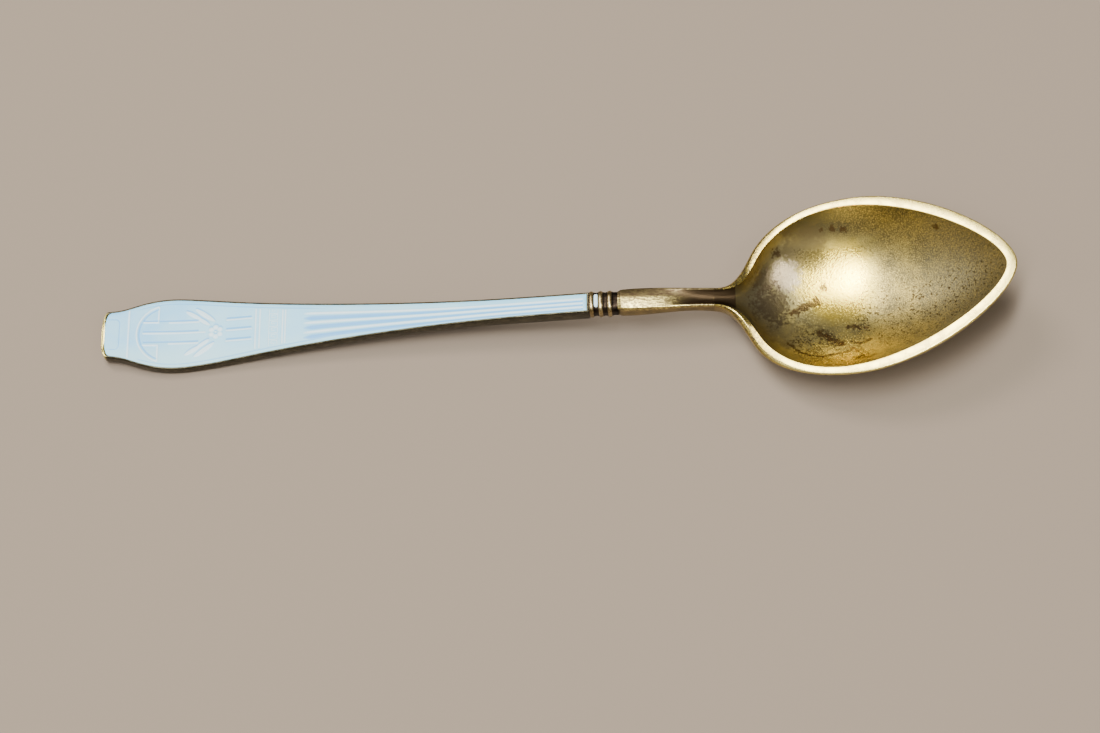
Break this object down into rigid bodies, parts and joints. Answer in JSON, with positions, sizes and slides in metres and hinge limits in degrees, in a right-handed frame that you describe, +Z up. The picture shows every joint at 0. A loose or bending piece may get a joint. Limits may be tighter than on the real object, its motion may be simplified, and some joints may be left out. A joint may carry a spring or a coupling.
{
  "type": "souvenir spoon",
  "caption": "Small souvenir spoon with a gilt egg-shaped bowl, a channelled neck, a ringed collar and a flat handle filled with pale blue enamel.",
  "frame": {"origin": "on the surface the spoon lies on, under the middle of its length", "axes": "+X along the spoon from the handle's end to the bowl's tip, +Y across it, +Z up out of the bowl"},
  "size_m": [0.0946, 0.0196, 0.01],
  "materials": {
    "gilt_bowl": "satin gilt with a polished rim and dark oxide stains",
    "gilt_neck": "polished gilt, darkened in the channel",
    "collar_metal": "gilt rings with dark antiqued grooves",
    "handle_metal": "worn, darkened gilt, bright along its raised rim",
    "enamel": "glossy pale blue translucent enamel over struck ornament"
  },
  "bodies": {
    "root": {"bowl": "gilt_bowl", "neck": "gilt_neck", "collar_ring_1": "collar_metal", "collar_ring_2": "collar_metal", "collar_ring_3": "collar_metal", "collar_enamel": "enamel", "handle_plate": "handle_metal", "handle_enamel": "enamel"}
  },
  "joints": []
}
